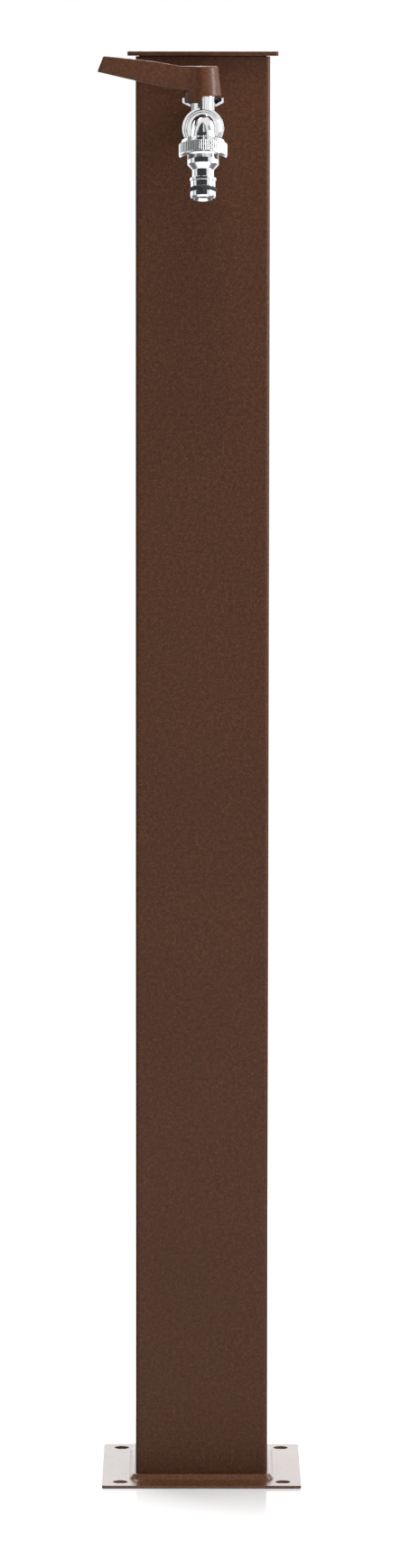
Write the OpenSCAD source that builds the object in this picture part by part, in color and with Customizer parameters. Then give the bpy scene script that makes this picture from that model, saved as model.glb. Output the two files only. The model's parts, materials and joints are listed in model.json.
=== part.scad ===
// Garden tap fountain: a square folded column on a pressed foot, with a lever ball tap and a hose spigot.
// Millimetres. +Z is up, the tap faces -Y, and the origin is the centre of the foot on the ground.

/* [Column] */
// Outer width of the square column
column_w = 90; // [84:1:120]
// Height of the whole fountain, from the ground to the top of the lid
total_h = 974; // [700:1:1300]
// Wall of the column's folded sheet
column_t = 2; // [1.5:0.1:3]
// Inner radius of the column's folded corners
column_bend_r = 0.8; // [0.4:0.1:2]

/* [Foot] */
// How far the foot plate stands out past the column on each side
foot_margin = 23; // [20:0.5:40]
// Thickness of the foot plate's sheet
foot_t = 2; // [1.5:0.1:3]
// Radius of the foot plate's corners
foot_corner_r = 2; // [1:0.5:6]
// Distance from an anchor hole's centre to the plate's edges
anchor_inset = 12.5; // [9:0.5:13]
// Diameter of an anchor hole
anchor_d = 10; // [6:0.5:12]
// Height of the raised seat above the plate
seat_rise = 3.5; // [3.4:0.1:7]
// How far the raised seat's flat top stands out past the column
seat_margin = 1.3; // [1:0.1:3]
// Slope of the raised seat's pressed sides, from the ground
seat_slope = 50; // [50:1:70]
// Radius of the flat top's corners, seen from above
seat_corner_r = 3; // [2.5:0.1:6]
// Radius of the raised seat's upper edge
seat_edge_r = 1.2; // [0.5:0.1:1.5]
// Radius of the bend where the raised seat meets the plate
seat_foot_r = 0.8; // [0.5:0.1:1.2]
// Diameter of the opening for pipes in the raised seat
foot_opening_d = 60; // [40:1:70]

/* [Lid] */
// How far the lid stands out past the column on each side
lid_overhang = 5.5; // [2:0.5:12]
// Thickness of the lid
lid_t = 3; // [2:0.5:5]
// Radius of the lid's corners
lid_corner_r = 2; // [1:0.5:5]
// Height of the shadow gap between the column's rim and the lid
lid_gap = 0.3; // [0.3:0.1:3]
// How far the insert under the lid reaches into the column
insert_h = 20; // [16:1:35]
// Wall of the insert
insert_t = 2; // [1.5:0.1:3]
// Distance between the two lid screws
lid_screw_pitch = 50; // [30:1:60]
// Distance of the lid screws below the column's rim
lid_screw_drop = 10; // [8:0.5:11]
// Radius of a lid screw's shank
lid_screw_r = 2; // [1.5:0.1:2.5]
// Radius of a lid screw's head
lid_screw_head_r = 3.8; // [3.2:0.1:4.5]
// Height of a lid screw's head
lid_screw_head_h = 2.4; // [1.5:0.1:3]
// Length of a lid screw's shank
lid_screw_l = 8; // [7:0.5:14]

/* [Tap] */
// Distance from the lid's top down to the tap's flow axis
tap_drop = 50.9; // [46:0.1:90]
// Distance from the column's face to the stem's axis
tap_reach = 30; // [28:0.5:50]
// Radius of the barrel round the ball
barrel_r = 13.9; // [13.7:0.1:15]
// Length of the barrel behind the stem's axis
barrel_back_l = 16; // [14.5:0.5:18]
// Length of the barrel in front of the stem's axis, up to the first step
barrel_front_l = 8; // [7:0.5:9]
// Radius of the ball
ball_r = 9.5; // [9:0.1:10]
// Radius of the water way through the ball and the elbow
way_r = 5; // [4:0.1:5.2]
// Radius of the stem tower
tower_r = 8.3; // [7.8:0.1:8.6]
// Height of the stem tower's top above the flow axis
tower_h = 23.9; // [23:0.1:25]
// Outer radius of the stop cup's wall
cup_r = 13.7; // [13.3:0.1:14.5]
// Wall of the stop cup
cup_t = 1.4; // [1:0.1:1.6]
// Height of the stop cup's rim above the flow axis
cup_h = 20.05; // [19.5:0.05:20.5]
// Radius of the half-inch male thread
half_inch_r = 10.48; // [9:0.01:10.8]
// Width across the flats of the tap's hexagon
tap_hex_af = 24; // [23:0.5:27]

/* [Outlet] */
// Outer radius of the outlet elbow's tube
elbow_r = 7.8; // [7.4:0.1:8.2]
// Height of the elbow's axis above the flow axis
elbow_rise = 1.8; // [0:0.1:2]
// Distance from the stem's axis to the start of the bend
elbow_start = 18; // [16:0.5:24]
// Radius of the bend's centre line
elbow_bend_r = 9; // [8.5:0.5:14]
// Angle that the elbow turns downwards
elbow_turn = 75; // [60:1:90]
// Radius of the three-quarter-inch outlet thread
outlet_r = 13.2; // [12.9:0.1:13.6]
// Length of the outlet's thread
outlet_l = 5.4; // [5:0.1:7]

/* [Lever] */
// Radius of the hub at its rim
hub_rim_r = 12.5; // [12.2:0.1:13]
// Radius of the hub at its top
hub_top_r = 10.3; // [9.8:0.1:11]
// Height of the hub
hub_h = 20.1; // [19:0.1:24]
// Wall of the hub and the arm
lever_t = 2; // [1.6:0.1:2.2]
// Depth of the stop lip below the hub's rim
lip_h = 4.6; // [3:0.1:4.8]
// Reach of the arm from the hub's axis to its upper tip
arm_l = 66.1; // [55:0.5:90]
// Height of the arm's upper tip above the hub's top
arm_lift = 6.6; // [5:0.1:12]
// Width of the arm at the hub
arm_root_w = 17; // [15:0.5:17]
// Width of the arm at its tip
arm_tip_w = 14; // [12:0.5:16]

/* [Hose connector] */
// Outer radius of the union nut's ribs
nut_r = 16.2; // [15.6:0.1:18]
// Height of the union nut
nut_h = 11.8; // [11.2:0.1:14]
// Radius of the union nut's upper rim
nut_rim_r = 14.5; // [14.2:0.1:15.2]
// Number of ribs round the union nut
nut_ribs = 72; // [36:1:80]
// Outer radius of the nipple's shoulder
nipple_r = 10.6; // [10:0.1:11.2]
// Radius of the nipple's neck, where a coupling's catches grip
neck_r = 7.35; // [7.2:0.05:7.6]
// Radius of the nipple's collar
collar_r = 8.9; // [8.6:0.1:9.1]
// Radius of the nipple's tip
tip_r = 8.55; // [8.4:0.05:8.7]
// Length of the nipple below its flange
nipple_l = 29.5; // [29:0.5:36]

/* [Pipework] */
// Height of the supply inlet above the ground
inlet_z = 60; // [52:1:120]
// Outer radius of the riser pipe
riser_r = 7.5; // [6:0.1:7.8]
// Wall of the riser pipe
riser_t = 1; // [0.8:0.1:1.5]
// Distance from the front wall's inside to the riser's axis
riser_set = 22; // [20:0.5:30]
// How far the inlet stub stands out of the back wall
inlet_proud = 24; // [20:0.5:35]

/* [Fits] */
// Radial clearance of a thread, a plug or a ring
fit = 0.05; // [0.02:0.01:0.1]
// Radial clearance of a turning or sliding fit
running = 0.06; // [0.02:0.01:0.1]
// Clearance between the ball and its seat rings
ball_gap = 0.15; // [0.1:0.01:0.3]
// Clearance of a bolt hole or a pipe hole in sheet, on the radius
hole_play = 0.5; // [0.3:0.1:1]
// Play of the lid's insert in the column
insert_play = 0.3; // [0.2:0.05:0.5]

/* [Hidden] */
$fn = 64;
right_angle = 90;
half_turn = 180;
full_turn = 360;
hex_sides = 6;
hex_face_share = 0.95;
hex_chamfer_angle = 30;
arc_steps = 6;
overrun = 1;

paint = [0.33, 0.21, 0.16];
chrome = [0.86, 0.87, 0.89];
brass = [0.76, 0.62, 0.33];
black_rubber = [0.08, 0.08, 0.08];
white_plastic = [0.92, 0.92, 0.9];
steel = [0.7, 0.71, 0.72];

foot_w = column_w + 2 * foot_margin;
anchor_pitch = foot_w - 2 * anchor_inset;
seat_h = foot_t + seat_rise;
seat_reach = column_w / 2 + seat_margin - seat_corner_r;
column_inner = column_w - 2 * column_t;
column_top = total_h - lid_t - lid_gap;
insert_w = column_inner - 2 * insert_play;
lid_w = column_w + 2 * lid_overhang;

// Tap heights and lengths, from the stem's and the flow's axes
washer_t = 2;
washer_lip = 0.8;
tap_collar_t = 2.5;
tap_collar_r = 12.5;
tap_hex_l = tap_reach - washer_t - tap_collar_t - barrel_back_l;
thread_grip = 11;
barrel_step_l = 3;
barrel_step_t = 1;
ring_rs = [12.6, 11.3, 9.8];
ring_ls = [2, 3, 1.5];
chamber_half = 9;
chamber_r = ball_r + 1.05;
spigot_r = chamber_r + 0.95;
seat_ring_t = 2.5;
seat_ring_way_r = way_r + 0.5;
slot_w = 3;
slot_d = 3;
stem_r = 4.95;
stem_flange_r = 6.2;
stem_flange_t = 2.3;
stem_flange_gap = 0.3;
stem_washer_t = 1.4;
stem_square = 6.9;
stem_square_l = 10;
ring_cord_r = 0.7;
stem_ring_drops = [4.9, 8];
cup_root_h = 14.3;
cup_bend_h = 16.65;
cup_bend_in = 0.5;
tap_z = total_h - tap_drop;
stem_flange_h = ball_r + stem_flange_gap;
stem_washer_h = stem_flange_h + stem_flange_t;
stem_roof_h = stem_washer_h + stem_washer_t + fit;

// Outlet, along its own slanted axis from the end of the bend
outlet_cone_start = 1.2;
outlet_cone_l = 3;
seam_lap = 1;
seam_step = 0.1;
outlet_start = outlet_cone_start + outlet_cone_l;
nut_start = outlet_start - 0.6;
gasket_start = outlet_start + outlet_l;
gasket_t = 1.8;
flange_start = gasket_start + gasket_t;
flange_t = 1.8;
flange_r = 12.75;
flange_play = 0.1;
nipple_start = flange_start + flange_t;
nipple_way_r = 5.2;
mouth_r = 6.4;
mouth_l = 2;
shoulder_l = 6.8;
shoulder_cone_l = 3.4;
collar_start = 15.4;
collar_l = 2.4;
collar_edge = 0.5;
collar_land_r = 8.3;
groove_start = 22;
groove_l = 3;
o_ring_cord_r = 1.3;
o_ring_r = 8;
tip_edge = 1.1;
nut_chamfer_l = 2.7;
nut_band_l = 2.2;
nut_groove_d = 0.7;
rib_step = 0.2;
rib_share = 0.5;
nut_bore_r = outlet_r + running;
nut_lip_t = nut_h - (nipple_start + flange_play - nut_start);

// Lever heights above the flow axis
lever_gap = 1.05;
hub_z = cup_h + lever_gap;
boss_gap = 0.4;
boss_z = tower_h + boss_gap;
boss_r = 7.4;
hub_top_z = hub_z + hub_h;
screw_recess_r = 4.4;
screw_recess_d = 3.4;
lever_screw_r = 2;
lever_screw_head_r = 3.9;
lever_screw_head_h = 2.6;
lever_screw_l = 12;
hub_edge_r = 1.5;
lip_clear = 1.8;
lip_step = 0.2;
lip_lap = 0.8;
arm_tip_edge_r = 3;
socket_share = 1.25;

// Pipework, along the riser's axis and the inlet's axis
riser_y = -column_w / 2 + column_t + riser_set;
socket_r = 13.5;
socket_l = 14;
socket_gap = 0.5;
elbow_body_r = 11.5;
elbow_way_r = 6;
leg_r = 10.3;
leg_l = 24;
pipe_stop = 13;
inlet_reach = 20;
riser_nut_af = 25;
riser_nut_l = 16;
riser_nut_set = 16;
riser_nut_end_t = 2.5;
olive_l = 5;
olive_r = 9.4;
olive_end_r = 8.2;
stub_way_r = 7;
lock_nut_af = 27;
lock_nut_t = 7;
relief_set = 0.3;
relief_l = 1.5;
relief_d = 0.9;

// Points along the arm's upper and lower edge, as shares of its reach and of its lift
arm_top_shares = [[0, 0], [-0.233, 0], [-0.46, 0.417], [-0.678, 0.667], [-1, 1]];
arm_low_shares = [[0, -2.44], [-0.192, -2.44], [-0.398, -2.136], [-0.669, -1.515], [-1.062, -0.591]];

// Sum of a list's values up to and with the one at i
function sum_to(list, i) = i < 0 ? 0 : list[i] + sum_to(list, i - 1);

// Points of a round stretch of an outline
function arc(centre, r, from, to) =
    [for (i = [0:arc_steps]) centre + r * [cos(from + (to - from) * i / arc_steps),
                                           sin(from + (to - from) * i / arc_steps)]];

module rounded_square(w, r) {
    square([w, w - 2 * r], center = true);
    square([w - 2 * r, w], center = true);
    for (sx = [-1, 1], sy = [-1, 1])
        translate([sx, sy] * (w / 2 - r)) circle(r);
}

module tube(outer, inner, h) {
    difference() {
        cylinder(r = outer, h = h);
        translate([0, 0, -overrun]) cylinder(r = inner, h = h + 2 * overrun);
    }
}

module hex_bar(af, h) {
    cylinder(r = af / 2 / cos(half_turn / hex_sides), h = h, $fn = hex_sides);
}

// Hexagon with its corners turned down at both ends
module hex_nut(af, h) {
    slope = tan(hex_chamfer_angle);
    face_r = af / 2 * hex_face_share;
    outside_r = af / 2 / cos(half_turn / hex_sides) + overrun;
    chamfer_l = (outside_r - face_r) * slope;
    intersection() {
        hex_bar(af, h);
        rotate_extrude() polygon([
            [0, -overrun],
            [face_r - overrun / slope, -overrun],
            [outside_r, chamfer_l],
            [outside_r, h - chamfer_l],
            [face_r - overrun / slope, h + overrun],
            [0, h + overrun]]);
    }
}

// Local z points out of the column's front along the flow axis, local y is up
module at_tap() {
    translate([0, -column_w / 2, tap_z]) rotate([right_angle, 0, 0]) children();
}

// Local z is the stem's axis, with its zero at the flow axis
module at_stem() {
    translate([0, -column_w / 2 - tap_reach, tap_z]) children();
}

// Local z runs down the outlet's axis from the end of the bend
module at_outlet() {
    at_tap() translate([0, elbow_rise - elbow_bend_r, tap_reach + elbow_start])
        rotate([elbow_turn, 0, 0]) translate([0, elbow_bend_r, 0]) children();
}

// Foot

// Square pad whose sides follow a section drawn outwards from its corner centres
module pad(low, high) {
    for (turn = [0:3]) rotate(turn * right_angle) translate([seat_reach, seat_reach, 0]) {
        rotate_extrude(angle = right_angle) children();
        rotate([right_angle, 0, 0]) linear_extrude(2 * seat_reach) children();
    }
    translate([-seat_reach, -seat_reach, low]) cube([2 * seat_reach, 2 * seat_reach, high - low]);
}

// Section of the raised seat: a round edge, a sloped side and a round foot
module seat_section() {
    round_l = (seat_edge_r + seat_foot_r) * sin(seat_slope);
    slope_h = seat_rise - (seat_edge_r + seat_foot_r) * (1 - cos(seat_slope));
    foot_x = seat_corner_r + round_l + slope_h / tan(seat_slope);
    polygon(concat(
        [[0, 0], [foot_x, 0]],
        arc([foot_x, foot_t + seat_foot_r], seat_foot_r, -right_angle, -right_angle - seat_slope),
        arc([seat_corner_r, seat_h - seat_edge_r], seat_edge_r, right_angle - seat_slope, right_angle),
        [[0, seat_h]]));
}

// Section of the hollow under the seat, one sheet thickness inside it
module hollow_section() {
    top_x = seat_corner_r + (seat_edge_r - foot_t) * tan(seat_slope / 2);
    low_x = top_x + seat_rise / tan(seat_slope);
    polygon([[0, -overrun], [low_x, -overrun], [low_x, 0], [top_x, seat_rise], [0, seat_rise]]);
}

module foot_plate() {
    color(paint) difference() {
        union() {
            linear_extrude(foot_t) rounded_square(foot_w, foot_corner_r);
            pad(0, seat_h) seat_section();
        }
        pad(-overrun, seat_rise) hollow_section();
        for (sx = [-1, 1], sy = [-1, 1])
            translate([sx * anchor_pitch / 2, sy * anchor_pitch / 2, -overrun])
                cylinder(d = anchor_d, h = foot_t + 2 * overrun);
        cylinder(d = foot_opening_d, h = seat_h + overrun);
    }
}

// Column and lid

module column() {
    color(paint) difference() {
        translate([0, 0, seat_h]) linear_extrude(column_top - seat_h)
            rounded_square(column_w, column_bend_r + column_t);
        translate([0, 0, seat_h - overrun]) linear_extrude(column_top - seat_h + 2 * overrun)
            rounded_square(column_inner, column_bend_r);
        at_tap() translate([0, 0, -column_t - overrun])
            cylinder(r = half_inch_r + hole_play, h = column_t + 2 * overrun);
        translate([0, column_w / 2 + overrun, inlet_z]) rotate([right_angle, 0, 0])
            cylinder(r = half_inch_r + hole_play, h = column_t + 2 * overrun);
        at_lid_screws() translate([0, 0, -column_t - overrun])
            cylinder(r = lid_screw_r + hole_play, h = column_t + 2 * overrun);
    }
}

module lid() {
    color(paint) translate([0, 0, total_h - lid_t]) linear_extrude(lid_t)
        rounded_square(lid_w, lid_corner_r);
}

module lid_insert() {
    color(paint) difference() {
        translate([0, 0, column_top - insert_h]) linear_extrude(insert_h + lid_gap)
            rounded_square(insert_w, column_bend_r);
        translate([0, 0, column_top - insert_h - overrun]) linear_extrude(insert_h + lid_gap + 2 * overrun)
            rounded_square(insert_w - 2 * insert_t, column_bend_r);
        at_lid_screws() translate([0, 0, -column_t - insert_play - insert_t - overrun])
            cylinder(r = lid_screw_r + fit, h = insert_t + 2 * overrun);
    }
}

// Local z points out of the column's back at each lid screw
module at_lid_screws() {
    for (side = [-1, 1])
        translate([side * lid_screw_pitch / 2, column_w / 2, column_top - lid_screw_drop])
            rotate([-right_angle, 0, 0]) children();
}

module lid_screws() {
    color(steel) at_lid_screws() difference() {
        union() {
            translate([0, 0, -lid_screw_l]) cylinder(r = lid_screw_r, h = lid_screw_l);
            cylinder(r = lid_screw_head_r, h = lid_screw_head_h);
        }
        translate([0, 0, lid_screw_head_h / 2]) hex_bar(lid_screw_r * socket_share, lid_screw_head_h);
    }
}

// Tap

module tap_washer() {
    color(black_rubber) at_tap() tube(tap_collar_r + washer_lip, half_inch_r + fit, washer_t);
}

module tap_end_piece() {
    color(chrome) at_tap() difference() {
        union() {
            translate([0, 0, -column_t - thread_grip])
                cylinder(r = half_inch_r, h = column_t + thread_grip + washer_t);
            translate([0, 0, washer_t]) cylinder(r = tap_collar_r, h = tap_collar_t);
            translate([0, 0, washer_t + tap_collar_t]) hex_nut(tap_hex_af, tap_hex_l);
            translate([0, 0, tap_reach - barrel_back_l])
                cylinder(r = spigot_r, h = barrel_back_l - chamber_half);
        }
        translate([0, 0, -column_t - thread_grip - overrun])
            cylinder(r = seat_ring_way_r, h = column_t + thread_grip + tap_reach);
    }
}

module barrel_solid() {
    at_tap() {
        translate([0, 0, tap_reach - barrel_back_l])
            cylinder(r = barrel_r - barrel_step_t, h = barrel_back_l + barrel_front_l);
        translate([0, 0, tap_reach - barrel_back_l + barrel_step_l])
            cylinder(r = barrel_r, h = barrel_back_l - barrel_step_l + barrel_front_l);
        for (i = [0:len(ring_rs) - 1])
            translate([0, 0, tap_reach])
                cylinder(r = ring_rs[i], h = barrel_front_l + sum_to(ring_ls, i));
        translate([0, elbow_rise, tap_reach + chamber_half])
            cylinder(r = elbow_r, h = elbow_start - chamber_half);
        translate([0, elbow_rise - elbow_bend_r, tap_reach + elbow_start])
            rotate([right_angle, 0, right_angle]) rotate_extrude(angle = elbow_turn)
                translate([elbow_bend_r, 0]) circle(elbow_r);
    }
    at_stem() cylinder(r = tower_r, h = tower_h);
    at_outlet() {
        rotate_extrude() polygon([
            [0, -seam_lap],
            [elbow_r + seam_step, -seam_lap],
            [elbow_r + seam_step, outlet_cone_start],
            [outlet_r, outlet_start],
            [outlet_r, outlet_start + outlet_l],
            [0, outlet_start + outlet_l]]);
    }
}

// Half-round stop cup behind the tower
module stop_cup() {
    at_stem() rotate_extrude(angle = half_turn) polygon([
        [tower_r - cup_t, cup_root_h],
        [tower_r, cup_root_h],
        [cup_r - cup_bend_in, cup_bend_h],
        [cup_r, cup_bend_h + cup_bend_in],
        [cup_r, cup_h],
        [cup_r - cup_t, cup_h],
        [cup_r - cup_t, cup_bend_h + cup_t],
        [tower_r, cup_root_h + cup_t],
        [tower_r - cup_t, cup_root_h + cup_t]]);
}

module tap_body() {
    color(chrome) difference() {
        union() {
            barrel_solid();
            stop_cup();
        }
        at_tap() {
            translate([0, 0, tap_reach - barrel_back_l - overrun])
                cylinder(r = spigot_r + fit, h = barrel_back_l - chamber_half + overrun);
            translate([0, 0, tap_reach - chamber_half])
                cylinder(r = chamber_r, h = 2 * chamber_half);
            translate([0, elbow_rise, tap_reach])
                cylinder(r = way_r, h = elbow_start);
            translate([0, elbow_rise - elbow_bend_r, tap_reach + elbow_start])
                rotate([right_angle, 0, right_angle]) rotate_extrude(angle = elbow_turn)
                    translate([elbow_bend_r, 0]) circle(way_r);
        }
        at_outlet() translate([0, 0, -seam_lap])
            cylinder(r = way_r + seam_step, h = seam_lap + outlet_start + outlet_l + overrun);
        at_stem() {
            cylinder(r = stem_flange_r + fit, h = stem_roof_h);
            cylinder(r = stem_r + running, h = tower_h + overrun);
        }
    }
}

module seat_rings() {
    color(white_plastic) difference() {
        at_tap() for (side = [0, 1])
            translate([0, 0, tap_reach + (side == 0 ? -chamber_half : chamber_half - seat_ring_t)])
                tube(chamber_r - fit, seat_ring_way_r, seat_ring_t);
        at_stem() sphere(ball_r + ball_gap);
    }
}

module ball() {
    color(chrome) at_stem() difference() {
        sphere(ball_r);
        rotate([0, right_angle, 0]) translate([0, 0, -ball_r - overrun])
            cylinder(r = way_r, h = 2 * (ball_r + overrun));
        translate([-slot_w / 2, -ball_r, ball_r - slot_d]) cube([slot_w, 2 * ball_r, slot_d + overrun]);
    }
}

module stem() {
    color(brass) at_stem() difference() {
        union() {
            intersection() {
                translate([-slot_w / 2 + fit, -stem_r, ball_r - slot_d + fit])
                    cube([slot_w - 2 * fit, 2 * stem_r, slot_d + stem_flange_gap]);
                cylinder(r = stem_r, h = stem_flange_h + overrun);
            }
            translate([0, 0, stem_flange_h]) cylinder(r = stem_flange_r, h = stem_flange_t);
            translate([0, 0, stem_flange_h]) cylinder(r = stem_r, h = boss_z - stem_flange_h);
            translate([-stem_square / 2, -stem_square / 2, stem_flange_h])
                cube([stem_square, stem_square, boss_z - stem_flange_h + stem_square_l]);
        }
        for (drop = stem_ring_drops)
            translate([0, 0, tower_h - drop - ring_cord_r - fit])
                tube(stem_r + overrun, stem_r - 2 * ring_cord_r - fit, 2 * (ring_cord_r + fit));
        translate([0, 0, hub_top_z - screw_recess_d - lever_screw_l - overrun])
            cylinder(r = lever_screw_r + fit, h = lever_screw_l + screw_recess_d);
    }
}

module stem_washer() {
    color(white_plastic) at_stem() translate([0, 0, stem_washer_h])
        tube(stem_flange_r, stem_r + fit, stem_washer_t);
}

module stem_o_rings() {
    color(black_rubber) at_stem() for (drop = stem_ring_drops)
        translate([0, 0, tower_h - drop]) rotate_extrude()
            translate([stem_r - ring_cord_r, 0]) circle(ring_cord_r);
}

// Lever

function arm_point(share) = [share.x * arm_l, hub_top_z + share.y * arm_lift];

// Solid between the arm's side outline and its outline from above, both drawn in by inset
module arm_form(inset, start, drop) {
    tip = arm_point(arm_low_shares[len(arm_low_shares) - 1]).x + inset;
    r = arm_tip_edge_r - inset / 2;
    root_half = arm_root_w / 2 - inset;
    tip_half = arm_tip_w / 2 - inset;
    intersection() {
        rotate([right_angle, 0, 0]) linear_extrude(2 * arm_root_w, center = true) polygon(concat(
            [for (share = arm_top_shares) arm_point(share) + [share.y == 1 ? inset : 0, -inset]],
            [for (i = [len(arm_low_shares) - 1:-1:0]) arm_point(arm_low_shares[i])
                + [i == len(arm_low_shares) - 1 ? inset : 0, -drop]]));
        linear_extrude(2 * hub_top_z) polygon(concat(
            [[start, -root_half], [start, root_half]],
            arc([tip + r, tip_half - r], r, right_angle, half_turn),
            arc([tip + r, r - tip_half], r, half_turn, half_turn + right_angle)));
    }
}

module hub_outside() {
    rotate_extrude() polygon(concat(
        [[0, hub_z], [hub_rim_r, hub_z]],
        arc([hub_top_r - hub_edge_r, hub_top_z - hub_edge_r], hub_edge_r, 0, right_angle),
        [[0, hub_top_z]]));
}

// Lip in the open half of the stop cup: its ends meet the cup's ends a quarter turn apart
module stop_lip() {
    rotate(half_turn + lip_clear) rotate_extrude(angle = right_angle - 2 * lip_clear)
        translate([hub_rim_r - lever_t + lip_step, hub_z - lip_h])
            square([lever_t - 2 * lip_step, lip_h + lip_lap]);
}

module lever() {
    color(paint) at_stem() difference() {
        union() {
            hub_outside();
            arm_form(0, 0, 0);
            stop_lip();
        }
        arm_form(lever_t, -hub_rim_r - lever_t, overrun);
        difference() {
            translate([0, 0, hub_z - overrun]) cylinder(r1 = hub_rim_r - lever_t, r2 = hub_top_r - lever_t,
                h = hub_h - lever_t + overrun);
            translate([0, 0, boss_z]) cylinder(r = boss_r, h = hub_h);
        }
        translate([-stem_square / 2 - fit, -stem_square / 2 - fit, boss_z - overrun])
            cube([stem_square + 2 * fit, stem_square + 2 * fit, stem_square_l + overrun + fit]);
        translate([0, 0, boss_z]) cylinder(r = lever_screw_r + 2 * fit, h = hub_h);
        translate([0, 0, hub_top_z - screw_recess_d])
            cylinder(r = screw_recess_r, h = screw_recess_d + overrun);
    }
}

module lever_screw() {
    color(steel) at_stem() translate([0, 0, hub_top_z - screw_recess_d]) difference() {
        union() {
            cylinder(r = lever_screw_head_r, h = lever_screw_head_h);
            translate([0, 0, -lever_screw_l]) cylinder(r = lever_screw_r, h = lever_screw_l);
        }
        translate([0, 0, lever_screw_head_h / 2]) hex_bar(lever_screw_r * socket_share, lever_screw_head_h);
    }
}

// Hose connector

// Cross-section of the union nut's ribs
module rib_ring() {
    pitch = full_turn / nut_ribs;
    polygon([for (i = [0:nut_ribs - 1], edge = [0:3])
        let(turn = pitch * (i + (edge < 2 ? 0 : rib_share) + (edge % 2 == 0 ? 0 : (1 - rib_share) / 2)),
            r = nut_r - (edge == 0 || edge == 3 ? nut_groove_d : rib_step))
        r * [cos(turn), sin(turn)]]);
}

module hose_nut() {
    band_start = nut_h - nut_band_l;
    color(chrome) at_outlet() translate([0, 0, nut_start]) difference() {
        union() {
            cylinder(r1 = nut_rim_r, r2 = nut_r - nut_groove_d - rib_step, h = nut_chamfer_l);
            translate([0, 0, nut_chamfer_l]) linear_extrude(band_start - nut_chamfer_l) rib_ring();
            translate([0, 0, band_start]) cylinder(r = nut_r, h = nut_band_l);
        }
        translate([0, 0, -overrun]) cylinder(r = nut_bore_r, h = nut_h - nut_lip_t + overrun);
        cylinder(r = nipple_r + running, h = nut_h + overrun);
    }
}

module nipple_gasket() {
    color(black_rubber) at_outlet() translate([0, 0, gasket_start])
        tube(flange_r, nipple_way_r, gasket_t);
}

module hose_nipple() {
    groove_r = o_ring_r - o_ring_cord_r - fit;
    collar_end = collar_start + collar_l;
    groove_end = groove_start + groove_l;
    color(chrome) at_outlet() translate([0, 0, nipple_start]) rotate_extrude() polygon([
        [nipple_way_r, -flange_t],
        [flange_r, -flange_t],
        [flange_r, 0],
        [nipple_r, 0],
        [nipple_r, shoulder_l],
        [neck_r, shoulder_l + shoulder_cone_l],
        [neck_r, collar_start],
        [collar_r - collar_edge, collar_start],
        [collar_r, collar_start + collar_edge],
        [collar_r, collar_end],
        [collar_land_r, collar_end],
        [collar_land_r, groove_start],
        [groove_r, groove_start],
        [groove_r, groove_end],
        [tip_r, groove_end],
        [tip_r, nipple_l - tip_edge],
        [tip_r - tip_edge, nipple_l],
        [mouth_r, nipple_l],
        [nipple_way_r, nipple_l - mouth_l]]);
}

module nipple_o_ring() {
    color(black_rubber) at_outlet() translate([0, 0, nipple_start + groove_start + groove_l / 2])
        rotate_extrude() translate([o_ring_r, 0]) circle(o_ring_cord_r);
}

// Pipework

// Local z points out of an elbow's socket, and its leg runs along local -y to the riser
module at_elbow(top) {
    translate([0, riser_y, top ? tap_z : inlet_z])
        rotate([top ? right_angle : -right_angle, 0, 0]) children();
}

// Local z runs from an elbow's centre along its leg
module at_leg(top) {
    at_elbow(top) rotate([right_angle, 0, 0]) children();
}

module pipe_elbow(top, reach) {
    difference() {
        union() {
            at_elbow(top) {
                translate([0, 0, -elbow_body_r]) cylinder(r = elbow_body_r, h = elbow_body_r + reach);
                translate([0, 0, reach - socket_l]) cylinder(r = socket_r, h = socket_l);
            }
            at_leg(top) cylinder(r = leg_r, h = leg_l);
        }
        at_elbow(top) {
            translate([0, 0, reach - thread_grip - socket_gap])
                cylinder(r = half_inch_r + fit, h = thread_grip + socket_gap + overrun);
            cylinder(r = elbow_way_r, h = reach);
        }
        at_leg(top) {
            cylinder(r = elbow_way_r, h = leg_l);
            translate([0, 0, pipe_stop]) cylinder(r = riser_r + fit, h = leg_l);
        }
    }
}

module tap_elbow() {
    color(brass) pipe_elbow(true, riser_set);
}

module inlet_elbow() {
    color(brass) pipe_elbow(false, inlet_reach);
}

module riser_pipe() {
    color(steel) translate([0, riser_y, inlet_z + pipe_stop])
        tube(riser_r, riser_r - riser_t, tap_z - inlet_z - 2 * pipe_stop);
}

module riser_nuts() {
    color(brass) for (top = [false, true]) at_leg(top) translate([0, 0, riser_nut_set]) difference() {
        hex_nut(riser_nut_af, riser_nut_l);
        translate([0, 0, -overrun])
            cylinder(r = leg_r + fit, h = riser_nut_l - riser_nut_end_t + overrun);
        cylinder(r = riser_r + fit, h = riser_nut_l + overrun);
    }
}

module riser_olives() {
    color(brass) for (top = [false, true]) at_leg(top) translate([0, 0, leg_l]) difference() {
        union() {
            cylinder(r1 = olive_end_r, r2 = olive_r, h = olive_l / 2);
            translate([0, 0, olive_l / 2]) cylinder(r1 = olive_r, r2 = olive_end_r, h = olive_l / 2);
        }
        translate([0, 0, -overrun]) cylinder(r = riser_r + fit, h = olive_l + 2 * overrun);
    }
}

// Local z points out of the column's back along the inlet's axis
module at_inlet() {
    translate([0, column_w / 2, inlet_z]) rotate([-right_angle, 0, 0]) children();
}

module inlet_stub() {
    start = riser_y + inlet_reach - thread_grip - column_w / 2;
    color(brass) at_inlet() difference() {
        translate([0, 0, start]) tube(half_inch_r, stub_way_r, inlet_proud - start);
        translate([0, 0, washer_t + lock_nut_t + relief_set])
            tube(half_inch_r + overrun, half_inch_r - relief_d, relief_l);
    }
}

module inlet_lock_nuts() {
    color(brass) at_inlet() for (place = [-column_t - lock_nut_t, washer_t])
        translate([0, 0, place]) difference() {
            hex_nut(lock_nut_af, lock_nut_t);
            translate([0, 0, -overrun]) cylinder(r = half_inch_r + fit, h = lock_nut_t + 2 * overrun);
        }
}

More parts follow.
